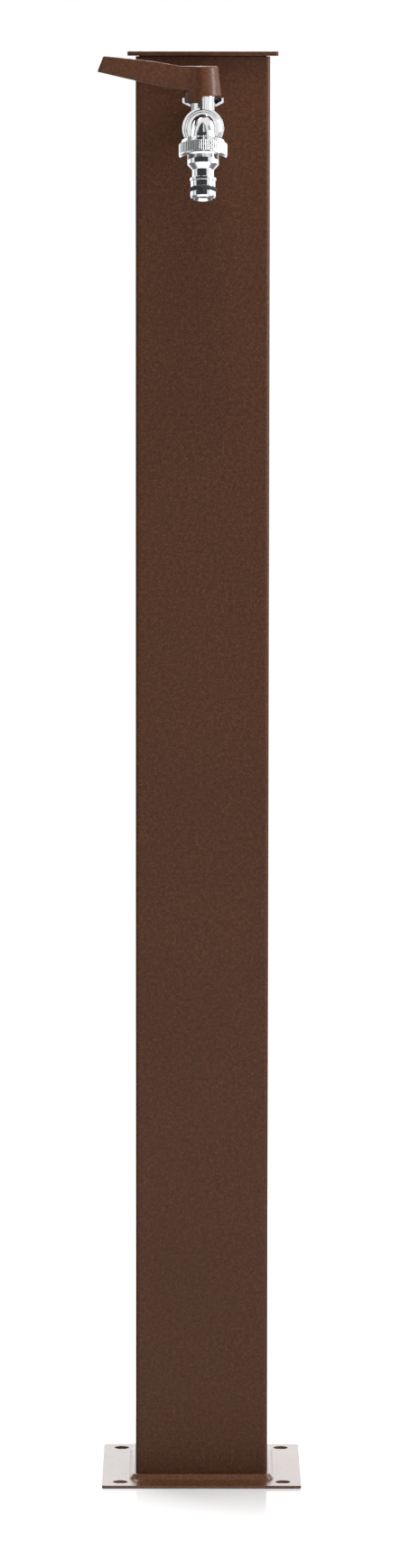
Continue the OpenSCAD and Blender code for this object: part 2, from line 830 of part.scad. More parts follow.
module inlet_washer() {
    color(black_rubber) at_inlet() tube(socket_r, half_inch_r + fit, washer_t);
}

foot_plate();
column();
lid();
lid_insert();
lid_screws();
tap_washer();
tap_end_piece();
tap_body();
seat_rings();
ball();
stem();
stem_washer();
stem_o_rings();
lever();
lever_screw();
hose_nut();
nipple_gasket();
hose_nipple();
nipple_o_ring();
tap_elbow();
riser_pipe();
riser_nuts();
riser_olives();
inlet_elbow();
inlet_stub();
inlet_lock_nuts();
inlet_washer();
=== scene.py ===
"""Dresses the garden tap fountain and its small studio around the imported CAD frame."""
import json
from math import cos, hypot, pi, radians, sin

import bmesh
import bpy
from bpy.props import FloatProperty, FloatVectorProperty, IntProperty, PointerProperty
from mathutils import Matrix, Vector


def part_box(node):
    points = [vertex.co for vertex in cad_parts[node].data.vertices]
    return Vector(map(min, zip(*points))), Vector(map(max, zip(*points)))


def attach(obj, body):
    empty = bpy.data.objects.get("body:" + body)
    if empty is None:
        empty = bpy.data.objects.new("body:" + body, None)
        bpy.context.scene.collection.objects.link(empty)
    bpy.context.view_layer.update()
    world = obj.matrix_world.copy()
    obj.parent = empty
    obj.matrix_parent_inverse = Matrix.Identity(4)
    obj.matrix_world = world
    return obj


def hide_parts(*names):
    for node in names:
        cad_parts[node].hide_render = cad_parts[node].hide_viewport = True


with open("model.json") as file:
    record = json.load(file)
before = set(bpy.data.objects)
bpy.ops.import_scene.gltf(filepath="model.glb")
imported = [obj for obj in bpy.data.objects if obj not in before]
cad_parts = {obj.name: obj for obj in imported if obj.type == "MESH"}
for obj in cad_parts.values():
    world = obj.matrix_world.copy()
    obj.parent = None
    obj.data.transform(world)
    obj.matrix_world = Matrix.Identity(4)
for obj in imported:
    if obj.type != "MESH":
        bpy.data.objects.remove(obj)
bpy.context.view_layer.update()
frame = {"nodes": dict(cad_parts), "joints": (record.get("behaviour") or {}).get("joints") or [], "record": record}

bl_info = {
    "name": "Garden Tap Fountain",
    "version": (1, 0, 0),
    "blender": (4, 5, 0),
    "location": "View3D > Sidebar > Fountain",
    "description": "Builds a square sheet-metal garden tap column and its studio",
    "category": "Object",
}

MM = 0.001
NODES = frame["nodes"]
BODIES = frame["record"]["behaviour"]["bodies"]
JOINTS = {joint["name"]: joint for joint in frame["joints"]}

# Axes of the outlet and of the inlet, the height of the tap's barrel over the ground and the radii of
# its round edges, and a radius between the hose nipple's bore and its outside
OUTLET = Vector(JOINTS["nut_turn"]["pos_m"])
OUTLET_WAY = Vector(JOINTS["nut_turn"]["axis"])
INLET_WAY = Vector((0, 1, 0))
FLOW_HEIGHT = 0.9231
BARREL_RADII = (0.0139, 0.0126, 0.0113)
NIPPLE_SPLIT = 0.0065

# How far off a ring's height or radius a point on it may be, and the widths of a thread's ridge at its
# foot and at its crest, as shares of its pitch
RING_REACH = 0.05 * MM
RIDGE_FOOT = 0.86
RIDGE_CREST = 0.22

# Floor: half its width, half the foot's width, how far its shine reaches past the foot, its own light
# away from the foot, its colour, and the darker colour that reflections see beside the fountain, with
# the turns from the front between which they see it and how soft its edges are, in degrees
FLOOR_HALF = 8
FOOT_HALF = (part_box("foot_plate")[1][0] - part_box("foot_plate")[0][0]) / 2
FLOOR_SHINE = 0.2
FLOOR_GLOW = 0.6
FLOOR_COLOUR = (0.72, 0.72, 0.72, 1)
FLOOR_DARK = (0.12, 0.12, 0.13, 1)
FLOOR_SIDES = (55, 130, 20)

# Light of the surround, lamps (name, place, target, size, watts), and the dark cards that reflections
# see: turn from the front to the right and rise, in degrees from low to high, depth, below zero where
# the surround is brighter, and how soft the edges in turn and in rise are, in degrees
AMBIENT = 0.6
LAMPS = (("key_lamp", (1.25, -0.35, 1.1), (0, -0.07, 0.9), (0.4, 0.9), 20),
         ("front_lamp", (1.2, -2.0, 0.8), (0, 0, 0.45), (0.8, 1.8), 12),
         ("top_lamp", (0.1, -0.5, 2.3), (0, 0, 0.7), (0.5, 0.5), 24),
         ("rim_lamp", (-0.3, 0.8, 2.2), (-0.05, -0.07, 0.95), (0.8, 0.5), 32))
CARDS = ((-70, 40, 18, 34, 0.95, 2, 1), (-62, 0, 34, 84, 0.95, 6, 4), (16, 44, 34, 84, 0.75, 8, 4),
         (-50, -5, -15, 18, 0.93, 3, 1), (8, 17, -15, 18, 0.5, 3, 1), (-130, -92, -25, 50, 0.7, 5, 5),
         (68, 95, -25, 50, 0.65, 5, 5), (105, 185, 1, 35, -1.1, 2, 2), (-185, -105, 1, 35, -1.1, 2, 2))
MIRRORED_LAMPS = ("key_lamp", "rim_lamp")


# Sizes and colours that a user would change

class PaintSettings(bpy.types.PropertyGroup):
    """Powder coat of the sheet metal and of the lever."""
    colour: FloatVectorProperty(
        name="Paint colour", description="Brown of the powder coat",
        subtype="COLOR", size=3, min=0, max=1, default=(0.040, 0.0138, 0.0050))
    speck: FloatVectorProperty(
        name="Speck colour", description="Lighter orange-brown specks in the coat",
        subtype="COLOR", size=3, min=0, max=1, default=(0.135, 0.045, 0.0140))
    lever: FloatVectorProperty(
        name="Lever colour", description="Brown of the cast lever",
        subtype="COLOR", size=3, min=0, max=1, default=(0.056, 0.019, 0.0078))
    grain: FloatProperty(
        name="Grain", description="Size of the coat's grain",
        subtype="DISTANCE", unit="LENGTH", min=0.0001, max=0.01, default=0.0005)


class MetalSettings(bpy.types.PropertyGroup):
    """Bare and plated metals."""
    chrome: FloatVectorProperty(
        name="Chrome colour", description="Polished chrome plate",
        subtype="COLOR", size=3, min=0, max=1, default=(0.79, 0.8, 0.82))
    brass: FloatVectorProperty(
        name="Brass colour", description="Bare turned brass of the pipework",
        subtype="COLOR", size=3, min=0, max=1, default=(0.76, 0.58, 0.29))
    steel: FloatVectorProperty(
        name="Steel colour", description="Plain stainless steel of pipe and screws",
        subtype="COLOR", size=3, min=0, max=1, default=(0.62, 0.62, 0.61))


class FittingSettings(bpy.types.PropertyGroup):
    """Ribs, threads and eased edges of the fittings."""
    nut_ribs: IntProperty(
        name="Nut ribs", description="Number of ribs round the union nut", min=12, max=120, default=72)
    rib_depth: FloatProperty(
        name="Rib depth", description="Height of a rib over the nut's ground",
        subtype="DISTANCE", unit="LENGTH", min=0.0001, max=0.001, default=0.0005)
    rim_taper: FloatProperty(
        name="Rim taper", description="Length of the taper at the nut's upper rim",
        subtype="DISTANCE", unit="LENGTH", min=0.001, max=0.004, default=0.0027)
    band: FloatProperty(
        name="Band", description="Height of the plain band at the nut's lower rim",
        subtype="DISTANCE", unit="LENGTH", min=0.001, max=0.004, default=0.0022)
    rim_ease: FloatProperty(
        name="Rim ease", description="Slope at the nut's lower rim",
        subtype="DISTANCE", unit="LENGTH", min=0.0002, max=0.0014, default=0.0012)
    thread_pitch: FloatProperty(
        name="Thread pitch", description="Rise of the half-inch pipe thread in one turn",
        subtype="DISTANCE", unit="LENGTH", min=0.0005, max=0.003, default=0.001814)
    thread_depth: FloatProperty(
        name="Thread depth", description="Height of the half-inch pipe thread",
        subtype="DISTANCE", unit="LENGTH", min=0.0002, max=0.002, default=0.00116)
    edge: FloatProperty(
        name="Eased edge", description="Width of the eased edges of plated parts",
        subtype="DISTANCE", unit="LENGTH", min=0.00005, max=0.0006, default=0.0002)


class StageSettings(bpy.types.PropertyGroup):
    """Studio round the fountain."""
    camera_place: FloatVectorProperty(
        name="Camera place", description="Place of the camera in front of the tap",
        subtype="TRANSLATION", unit="LENGTH", size=3, default=(-0.01061, -4.4592, 0.9725))
    camera_pitch: FloatProperty(
        name="Camera pitch", description="Angle that the camera looks down",
        subtype="ANGLE", unit="ROTATION", default=0.11091)
    camera_yaw: FloatProperty(
        name="Camera yaw", description="Angle that the camera turns to the right",
        subtype="ANGLE", unit="ROTATION", default=0.00207)
    camera_roll: FloatProperty(
        name="Camera roll", description="Angle that the camera leans",
        subtype="ANGLE", unit="ROTATION", default=0.00099)
    lens_share: FloatProperty(
        name="Lens share", description="Focal length as a share of the picture's height",
        min=0.1, max=20, default=4.1827)


# Node tools

def add_node(tree, kind, settings=None, **inputs):
    """Adds a node, sets its properties, and sets or links its inputs by name."""
    node = tree.nodes.new(kind)
    for key, value in (settings or {}).items():
        setattr(node, key, value)
    for key, value in inputs.items():
        socket = find_input(node, key.replace("_", " "))
        if isinstance(value, bpy.types.NodeSocket):
            tree.links.new(value, socket)
        else:
            socket.default_value = value
    return node


def find_input(node, name):
    """Finds an enabled input by its name, or by its number where names repeat."""
    if name.startswith("slot"):
        return node.inputs[int(name[len("slot"):])]
    return next(s for s in node.inputs if s.name.lower() == name.lower() and s.enabled)


def calc(tree, operation, first, second=0.0, third=0.0):
    """Result of a sum on numbers or sockets."""
    return add_node(tree, "ShaderNodeMath", {"operation": operation},
                    slot0=first, slot1=second, slot2=third).outputs[0]


def scaled(tree, value, low, high, start, end, kind="LINEAR"):
    """Takes a value from the range low to high to the range start to end."""
    return add_node(tree, "ShaderNodeMapRange", {"interpolation_type": kind}, Value=value,
                    From_Min=low, From_Max=high, To_Min=start, To_Max=end).outputs[0]


def window(tree, value, low, high, soft):
    """1 where the value lies between low and high, with soft edges, and 0 elsewhere."""
    rise = scaled(tree, value, low - soft, low + soft, 0.0, 1.0, "SMOOTHSTEP")
    fall = scaled(tree, value, high - soft, high + soft, 1.0, 0.0, "SMOOTHSTEP")
    return calc(tree, "MULTIPLY", rise, fall)


def blended(tree, share, first, second):
    """Colour between two colours or sockets."""
    return add_node(tree, "ShaderNodeMix", {"data_type": "RGBA"}, Factor=share,
                    slot6=first, slot7=second).outputs[2]


def new_group(name, inputs, outputs):
    """Starts a shader node group and returns it with its group input and output nodes."""
    group = bpy.data.node_groups.new(name, "ShaderNodeTree")
    for label, kind, value in inputs:
        socket = group.interface.new_socket(label, in_out="INPUT", socket_type=kind)
        if value is not None:
            socket.default_value = value
    for label, kind in outputs:
        group.interface.new_socket(label, in_out="OUTPUT", socket_type=kind)
    return group, group.nodes.new("NodeGroupInput"), group.nodes.new("NodeGroupOutput")


def place_group(tree, group, **inputs):
    """Places a shared effect in a material with values of its own."""
    return add_node(tree, "ShaderNodeGroup", {"node_tree": group}, **inputs)


def coat_grain_group():
    """Fine grain of a powder coat: specked colour, uneven gloss and orange-peel height."""
    group, given, result = new_group(
        "Coat grain",
        [("Vector", "NodeSocketVector", None), ("Colour", "NodeSocketColor", (0.1, 0.05, 0.03, 1)),
         ("Speck", "NodeSocketColor", (0.2, 0.1, 0.05, 1)), ("Grain", "NodeSocketFloat", 0.001),
         ("Gloss low", "NodeSocketFloat", 0.3), ("Gloss high", "NodeSocketFloat", 0.45)],
        [("Colour", "NodeSocketColor"), ("Roughness", "NodeSocketFloat"), ("Height", "NodeSocketFloat")])
    vector = given.outputs["Vector"]
    fineness = calc(group, "DIVIDE", 1.0, given.outputs["Grain"])
    cells = add_node(group, "ShaderNodeTexVoronoi", None, Vector=vector, Scale=fineness).outputs
    chance = add_node(group, "ShaderNodeSeparateColor", None, Color=cells["Color"]).outputs[0]
    dots = scaled(group, cells["Distance"], 0.15, 0.7, 1.0, 0.0, "SMOOTHSTEP")
    patch = add_node(group, "ShaderNodeTexNoise", None, Vector=vector,
                     Scale=calc(group, "MULTIPLY", fineness, 0.2), Detail=3.0, Roughness=0.7).outputs["Fac"]
    share = scaled(group, patch, 0.35, 0.65, 0.5, 1.0)
    specks = calc(group, "MULTIPLY", calc(group, "MULTIPLY", dots, chance), share)
    specked = blended(group, specks, given.outputs["Colour"], given.outputs["Speck"])
    broad = add_node(group, "ShaderNodeTexNoise", None, Vector=vector, Scale=9.0, Detail=3.0).outputs["Fac"]
    tone = scaled(group, broad, 0.3, 0.7, 0.93, 1.07)
    mottle = scaled(group, patch, 0.36, 0.64, 0.82, 1.18)
    toned = add_node(group, "ShaderNodeVectorMath", {"operation": "SCALE"}, slot0=specked,
                     Scale=calc(group, "MULTIPLY", tone, mottle)).outputs[0]
    fine = calc(group, "MULTIPLY_ADD", dots, 0.4, calc(group, "MULTIPLY", chance, 0.6))
    gloss = scaled(group, fine, 0.3, 0.7, given.outputs["Gloss low"], given.outputs["Gloss high"])
    group.links.new(toned, result.inputs["Colour"])
    group.links.new(gloss, result.inputs["Roughness"])
    group.links.new(fine, result.inputs["Height"])
    return group


def handled_metal_group():
    """Faint clouds of a plated or turned surface, and the uneven gloss that goes with them."""
    group, given, result = new_group(
        "Handled metal",
        [("Vector", "NodeSocketVector", None), ("Cloud size", "NodeSocketFloat", 0.008),
         ("Gloss low", "NodeSocketFloat", 0.04), ("Gloss high", "NodeSocketFloat", 0.12)],
        [("Roughness", "NodeSocketFloat"), ("Cloud", "NodeSocketFloat")])
    cloud = add_node(group, "ShaderNodeTexNoise", None, Vector=given.outputs["Vector"],
                     Scale=calc(group, "DIVIDE", 1.0, given.outputs["Cloud size"]),
                     Detail=4.0, Roughness=0.55).outputs["Fac"]
    gloss = scaled(group, cloud, 0.35, 0.7, given.outputs["Gloss low"], given.outputs["Gloss high"])
    group.links.new(gloss, result.inputs["Roughness"])
    group.links.new(cloud, result.inputs["Cloud"])
    return group


def shared_group(make, name):
    """The shared effect of that name, made once."""
    return bpy.data.node_groups.get(name) or make()


def new_material(name):
    """Starts a material and returns it with its tree, its Principled shader and its coordinates."""
    material = bpy.data.materials.new(name)
    material.use_nodes = True
    tree = material.node_tree
    shader = next(n for n in tree.nodes if n.type == "BSDF_PRINCIPLED")
    place = add_node(tree, "ShaderNodeTexCoord").outputs["Object"]
    turned = add_node(tree, "ShaderNodeMapping", None, Vector=place).outputs[0]
    return material, tree, shader, turned


def set_bump(tree, shader, height, strength, distance):
    """Links a height to the shader's normal."""
    bump = add_node(tree, "ShaderNodeBump", None, Height=height, Strength=strength, Distance=distance)
    tree.links.new(bump.outputs[0], shader.inputs["Normal"])


def coat_material(name, colour, shine, coat, gloss):
    """Powder coat with fine specks: shine is its specular level, coat the share of a clear top layer."""
    if name in bpy.data.materials:
        return bpy.data.materials[name]
    paint = bpy.context.scene.fountain_paint
    material, tree, shader, place = new_material(name)
    coat_grain = place_group(tree, shared_group(coat_grain_group, "Coat grain"), Vector=place,
                             Colour=(*colour, 1), Speck=(*paint.speck, 1), Grain=paint.grain,
                             Gloss_low=gloss[0], Gloss_high=gloss[1])
    tree.links.new(coat_grain.outputs["Colour"], shader.inputs["Base Color"])
    tree.links.new(coat_grain.outputs["Roughness"], shader.inputs["Roughness"])
    set_bump(tree, shader, coat_grain.outputs["Height"], strength=0.3, distance=0.1 * MM)
    shader.inputs["Specular IOR Level"].default_value = shine
    shader.inputs["Coat Weight"].default_value = coat
    shader.inputs["Coat Roughness"].default_value = 0.2
    return material


def brown_paint():
    paint = bpy.context.scene.fountain_paint
    return coat_material("brown_powder_coat", paint.colour, shine=0.22, coat=0, gloss=(0.4, 0.55))


def foot_paint_painted_lighter():
    """The same coat on the foot with more gloss, and with painted light: its colour is raised by half to stand in
    for the stronger light that falls on the foot.
    """
    paint = bpy.context.scene.fountain_paint
    # painted light: the coat's colour is made half again as light, standing in for more light on the foot, not a
    # paler coat
    colour = [1.5 * channel for channel in paint.colour]
    return coat_material("brown_foot_coat", colour, shine=0.4, coat=0.35, gloss=(0.24, 0.32))


def lever_paint():
    paint = bpy.context.scene.fountain_paint
    return coat_material("brown_lever_coat", paint.lever, shine=0.25, coat=0.08, gloss=(0.34, 0.46))


def metal_material(name, colour, gloss, cloud_size, bump, tint):
    """Metal with faint clouds in its gloss: tint is how much darker the clouds are."""
    if name in bpy.data.materials:
        return bpy.data.materials[name]
    material, tree, shader, place = new_material(name)
    handled = place_group(tree, shared_group(handled_metal_group, "Handled metal"), Vector=place,
                          Cloud_size=cloud_size, Gloss_low=gloss[0], Gloss_high=gloss[1])
    dark = [channel * (1 - tint) for channel in colour]
    mixed = blended(tree, handled.outputs["Cloud"], (*colour, 1), (*dark, 1))
    tree.links.new(mixed, shader.inputs["Base Color"])
    tree.links.new(handled.outputs["Roughness"], shader.inputs["Roughness"])
    shader.inputs["Metallic"].default_value = 1
    set_bump(tree, shader, handled.outputs["Cloud"], strength=bump, distance=0.2 * MM)
    return material


def chrome_plate():
    return metal_material("chrome_plate", bpy.context.scene.fountain_metal.chrome,
                          gloss=(0.06, 0.13), cloud_size=9 * MM, bump=0.02, tint=0.04)


def turned_brass():
    return metal_material("turned_brass", bpy.context.scene.fountain_metal.brass,
                          gloss=(0.22, 0.36), cloud_size=4 * MM, bump=0.15, tint=0.18)


def plain_steel():
    return metal_material("plain_steel", bpy.context.scene.fountain_metal.steel,
                          gloss=(0.26, 0.4), cloud_size=5 * MM, bump=0.12, tint=0.1)


def soft_material(name, colour, pale, grain, gloss):
    """Moulded rubber or plastic, faintly mottled."""
    if name in bpy.data.materials:
        return bpy.data.materials[name]
    material, tree, shader, place = new_material(name)
    moulded = place_group(tree, shared_group(coat_grain_group, "Coat grain"), Vector=place,
                          Colour=(*colour, 1), Speck=(*pale, 1), Grain=grain,
                          Gloss_low=gloss[0], Gloss_high=gloss[1])
    tree.links.new(moulded.outputs["Colour"], shader.inputs["Base Color"])
    tree.links.new(moulded.outputs["Roughness"], shader.inputs["Roughness"])
    set_bump(tree, shader, moulded.outputs["Height"], strength=0.2, distance=0.05 * MM)
    return material


def black_rubber():
    return soft_material("black_rubber", colour=(0.018, 0.018, 0.019), pale=(0.03, 0.03, 0.032),
                         grain=0.6 * MM, gloss=(0.4, 0.6))


def white_plastic():
    return soft_material("white_plastic", colour=(0.8, 0.79, 0.76), pale=(0.86, 0.85, 0.83),
                         grain=1.2 * MM, gloss=(0.3, 0.45))


# Mesh tools

def body_of_node(node):
    """Name of the moving body that a CAD node belongs to."""
    return next(body for body, members in BODIES.items() if node in members)


def show(node, finish, mesh, material):
    """Puts a finished mesh in the scene, where it stands for a CAD node and rides on its body."""
    piece = bpy.data.objects.new(f"{node}_{finish}", mesh)
    bpy.context.scene.collection.objects.link(piece)
    mesh.materials.clear()
    mesh.materials.append(material)
    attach(piece, body_of_node(node))
    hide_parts(node)


def dress(material, *nodes):
    """Gives carried-over CAD nodes a material of their own."""
    for node in nodes:
        materials = NODES[node].data.materials
        if materials:
            for i in range(len(materials)):
                materials[i] = material
        else:
            materials.append(material)


def evaluated_mesh(carrier):
    """A carrier's mesh with its modifiers applied; the carrier itself is removed."""
    graph = bpy.context.evaluated_depsgraph_get()
    result = bpy.data.meshes.new_from_object(carrier.evaluated_get(graph))
    bpy.data.objects.remove(carrier)
    return result


def applied(mesh, *modifiers):
    """The mesh with the given modifiers, each a kind and its settings, applied in order."""
    carrier = bpy.data.objects.new("carrier", mesh)
    bpy.context.scene.collection.objects.link(carrier)
    for kind, settings in modifiers:
        modifier = carrier.modifiers.new(kind.lower(), kind)
        for key, value in settings.items():
            setattr(modifier, key, value)
    return evaluated_mesh(carrier)


def smooth(mesh, angle=35):
    """Shades the mesh smooth, with edges sharper than the angle kept sharp."""
    mesh.shade_smooth()
    mesh.set_sharp_from_angle(angle=radians(angle))
    return applied(mesh, ("WEIGHTED_NORMAL", {"keep_sharp": True}))


def joined(*meshes):
    """One mesh with the faces of all the given ones."""
    shell = bmesh.new()
    for mesh in meshes:
        shell.from_mesh(mesh)
    result = bpy.data.meshes.new("joined")
    shell.to_mesh(result)
    shell.free()
    return result


def rounded(points, cut, steps=4):
    """A closed outline with each corner replaced by a short curve."""
    result = []
    for before, corner, after in zip([points[-1], *points[:-1]], points, [*points[1:], points[0]]):
        corner, before, after = (Vector(point) for point in (corner, before, after))
        start = corner + (before - corner).normalized() * min(cut, (before - corner).length / 2.1)
        end = corner + (after - corner).normalized() * min(cut, (after - corner).length / 2.1)
        for i in range(steps + 1):
            share = i / steps
            result.append(start * (1 - share) ** 2 + corner * 2 * share * (1 - share) + end * share ** 2)
    return result


def lathe(outline, steps=128):
    """A ring turned round local z from a closed outline of radius and height."""
    shell = bmesh.new()
    rings = []
    for i in range(steps):
        turn = 2 * pi * i / steps
        rings.append([shell.verts.new((r * cos(turn), r * sin(turn), z)) for r, z in outline])
    for i in range(steps):
        for k in range(len(outline)):
            ring, following = rings[i], rings[(i + 1) % steps]
            over = (k + 1) % len(outline)
            shell.faces.new((ring[k], following[k], following[over], ring[over]))
    bmesh.ops.recalc_face_normals(shell, faces=shell.faces)
    mesh = bpy.data.meshes.new("turned")
    shell.to_mesh(mesh)
    shell.free()
    return mesh


def axis_frame(place, way):
    """Matrix from a frame with its z along a way through a place to the object's own frame."""
    side = Vector((1, 0, 0))
    return Matrix.Translation(place) @ Matrix((side, way.cross(side), way)).transposed().to_4x4()


def rings_of(node, matrix):
    """Radius and height of every point of a CAD node, about the axis of a frame."""
    inverse = matrix.inverted()
    points = [inverse @ vertex.co for vertex in NODES[node].data.vertices]
    return [(hypot(point.x, point.y), point.z) for point in points]


def ring_at(rings, height):
    """Inner and outer radius of the rings at a height."""
    radii = [r for r, z in rings if abs(z - height) < RING_REACH]
    return min(radii), max(radii)


def turned_outline(rings, split):
    """Closed outline of a turned node: its outside upwards, and its bore, within the split, back down."""
    levels = {}
    for r, z in rings:
        levels.setdefault(round(z / MM, 2), set()).add(round(r / MM, 2))
    outside = [(max(levels[min(levels)]), min(levels))]
    bore = []
    for z in sorted(levels):
        last = outside[-1]
        outer = [r for r in levels[z] if r > split / MM]
        outer.sort(key=lambda r: abs(r - last[0]))
        outside += [(r, z) for r in outer if (r, z) != last]
        bore += [(r, z) for r in levels[z] if r <= split / MM]
    return [(r * MM, z * MM) for r, z in outside + bore[::-1]]


def repeat_tree(name, inputs):
    """Starts a geometry tree with named inputs, and returns it with the sockets of its inputs."""
    tree = bpy.data.node_groups.new(name, "GeometryNodeTree")
    for label, kind in (*inputs, ("Material", "NodeSocketMaterial")):
        tree.interface.new_socket(label, in_out="INPUT", socket_type=kind)
    tree.interface.new_socket("Geometry", in_out="OUTPUT", socket_type="NodeSocketGeometry")
    return tree, tree.nodes.new("NodeGroupInput").outputs


def end_tree(tree, geometry, given):
    """Ends a geometry tree in real geometry with its material."""
    whole = add_node(tree, "GeometryNodeRealizeInstances", None, Geometry=geometry).outputs[0]
    finished = add_node(tree, "GeometryNodeSetMaterial", None, Geometry=whole,
                        Material=given["Material"]).outputs[0]
    tree.links.new(finished, tree.nodes.new("NodeGroupOutput").inputs[0])
    return tree


def grown(tree, **values):
    """The plain mesh that a geometry tree makes of its named inputs."""
    carrier = bpy.data.objects.new("carrier", bpy.data.meshes.new("carrier"))
    bpy.context.scene.collection.objects.link(carrier)
    modifier = carrier.modifiers.new("tree", "NODES")
    modifier.node_group = tree
    for socket in tree.interface.items_tree:
        if socket.in_out == "INPUT":
            modifier[socket.identifier] = values[socket.name.replace(" ", "_").lower()]
    return evaluated_mesh(carrier)


def bar_ring_tree():
    """Rounded bars that stand in a ring round local z."""
    tree, given = repeat_tree("Bar ring", [
        ("Count", "NodeSocketInt"), ("Radius", "NodeSocketFloat"), ("Low", "NodeSocketFloat"),
        ("Length", "NodeSocketFloat"), ("Width", "NodeSocketFloat"), ("Depth", "NodeSocketFloat")])
    ring = add_node(tree, "GeometryNodeMeshCircle", None, Vertices=given["Count"],
                    Radius=given["Radius"]).outputs[0]
    bar = add_node(tree, "GeometryNodeMeshCylinder", None, Vertices=12, Radius=0.5, Depth=1.0).outputs[0]
    depth = calc(tree, "MULTIPLY", given["Depth"], 2.0)
    size = add_node(tree, "ShaderNodeCombineXYZ", None, X=depth, Y=given["Width"],
                    Z=given["Length"]).outputs[0]
    middle = calc(tree, "MULTIPLY_ADD", given["Length"], 0.5, given["Low"])
    turn = add_node(tree, "FunctionNodeAlignRotationToVector", {"axis": "X", "pivot_axis": "Z"},
                    Vector=add_node(tree, "GeometryNodeInputPosition").outputs[0]).outputs[0]
    bars = add_node(tree, "GeometryNodeInstanceOnPoints", None, Points=ring, Instance=bar,
                    Rotation=turn, Scale=size).outputs[0]
    lift = add_node(tree, "ShaderNodeCombineXYZ", None, Z=middle).outputs[0]
    raised = add_node(tree, "GeometryNodeTransform", None, Geometry=bars, Translation=lift).outputs[0]
    return end_tree(tree, raised, given)


def thread_tree():
    """A right-handed pipe thread's ridge that winds round local z, with its crest outwards."""
    tree, given = repeat_tree("Pipe thread", [
        ("Radius", "NodeSocketFloat"), ("Depth", "NodeSocketFloat"), ("Pitch", "NodeSocketFloat"),
        ("Low", "NodeSocketFloat"), ("Length", "NodeSocketFloat")])
    turns = calc(tree, "DIVIDE", given["Length"], given["Pitch"])
    middle = calc(tree, "MULTIPLY_ADD", given["Depth"], 0.5, given["Radius"])
    spiral = add_node(tree, "GeometryNodeCurveSpiral", None, Resolution=40, Rotations=turns,
                      Start_Radius=middle, End_Radius=middle, Height=given["Length"],
                      Reverse=True).outputs[0]
    upright = add_node(tree, "GeometryNodeSetCurveNormal", {"mode": "Z_UP"}, Curve=spiral).outputs[0]
    foot = calc(tree, "MULTIPLY", given["Pitch"], RIDGE_FOOT)
    crest = calc(tree, "MULTIPLY", given["Pitch"], RIDGE_CREST)
    ridge = add_node(tree, "GeometryNodeCurvePrimitiveQuadrilateral", {"mode": "TRAPEZOID"},
                     Bottom_Width=foot, Top_Width=crest, Height=given["Depth"], Offset=0.0).outputs[0]
    turned = add_node(tree, "GeometryNodeTransform", None, Geometry=ridge,
                      Rotation=(0.0, 0.0, -pi / 2)).outputs[0]
    wound = add_node(tree, "GeometryNodeCurveToMesh", None, Curve=upright, Profile_Curve=turned,
                     Fill_Caps=True).outputs[0]
    lift = add_node(tree, "ShaderNodeCombineXYZ", None, Z=given["Low"]).outputs[0]
    raised = add_node(tree, "GeometryNodeTransform", None, Geometry=wound, Translation=lift).outputs[0]
    return end_tree(tree, raised, given)


def merged_copy(node, reach=0.002 * MM):
    """A copy of a CAD node's mesh with its loose triangles joined and its flat faces merged."""
    mesh = NODES[node].data.copy()
    shell = bmesh.new()
    shell.from_mesh(mesh)
    bmesh.ops.remove_doubles(shell, verts=shell.verts, dist=reach)
    bmesh.ops.dissolve_limit(shell, angle_limit=radians(0.5), verts=shell.verts, edges=shell.edges)
    shell.to_mesh(mesh)
    shell.free()
    return mesh


def eased_rims(mesh, matrix, radii, width):
    """Rounds the sharp convex rims of the given radii about the axis of a frame."""
    inverse = matrix.inverted()
    reach = 0.02 * MM
    shell = bmesh.new()
    shell.from_mesh(mesh)
    for radius in radii:
        rims = []
        for edge in shell.edges:
            ends = [inverse @ vertex.co for vertex in edge.verts]
            on_ring = all(abs(hypot(end.x, end.y) - radius) < reach for end in ends)
            level = abs(ends[0].z - ends[1].z) < reach
            if on_ring and level and edge.is_convex and edge.calc_face_angle(0) > radians(60):
                rims.append(edge)
        bmesh.ops.bevel(shell, geom=rims, offset=width, segments=4, profile=0.5, affect="EDGES",
                        clamp_overlap=True)
    result = bpy.data.meshes.new("eased")
    shell.to_mesh(result)
    shell.free()
    return result


def refined(node, edge, segments=2, mesh=None):
    """A CAD node's shape with its edges eased by a small bevel."""
    bevel = {"width": edge, "segments": segments, "limit_method": "ANGLE", "angle_limit": radians(40),
             "use_clamp_overlap": True}
    return smooth(applied(mesh or merged_copy(node), ("BEVEL", bevel)))


# Pieces of the fountain

class FOUNTAIN_OT_sheet_metal(bpy.types.Operator):
    """Makes the foot, the column, the lid and the lid's insert"""
    bl_idname = "fountain.sheet_metal"
    bl_label = "Sheet metal"

    def execute(self, context):
        for node, edge, material in (("foot_plate", 0.2 * MM, foot_paint_painted_lighter()),
                                     ("column", 0.3 * MM, brown_paint()),
                                     ("lid", 0.5 * MM, brown_paint()),
                                     ("lid_insert", 0.3 * MM, brown_paint())):
            show(node, "coated", refined(node, edge), material)
        return {"FINISHED"}


class FOUNTAIN_OT_tap(bpy.types.Operator):
    """Makes the chrome-plated tap body with its tail, ball and stem"""
    bl_idname = "fountain.tap"
    bl_label = "Tap"

    def execute(self, context):
        flow = axis_frame(Vector((0, 0, FLOW_HEIGHT)), INLET_WAY)
        casting = eased_rims(merged_copy("tap_body", reach=0.03 * MM), flow, BARREL_RADII, width=0.8 * MM)
        body = refined("tap_body", edge=0.45 * MM, segments=3, mesh=casting)
        show("tap_body", "plated", body, chrome_plate())
        tail = refined("tap_end_piece", edge=0.3 * MM, segments=3)
        show("tap_end_piece", "plated", tail, chrome_plate())
        dress(chrome_plate(), "ball")
        dress(turned_brass(), "stem")
        dress(white_plastic(), "seat_rings", "stem_washer")
        dress(black_rubber(), "stem_o_rings", "tap_washer")
        return {"FINISHED"}


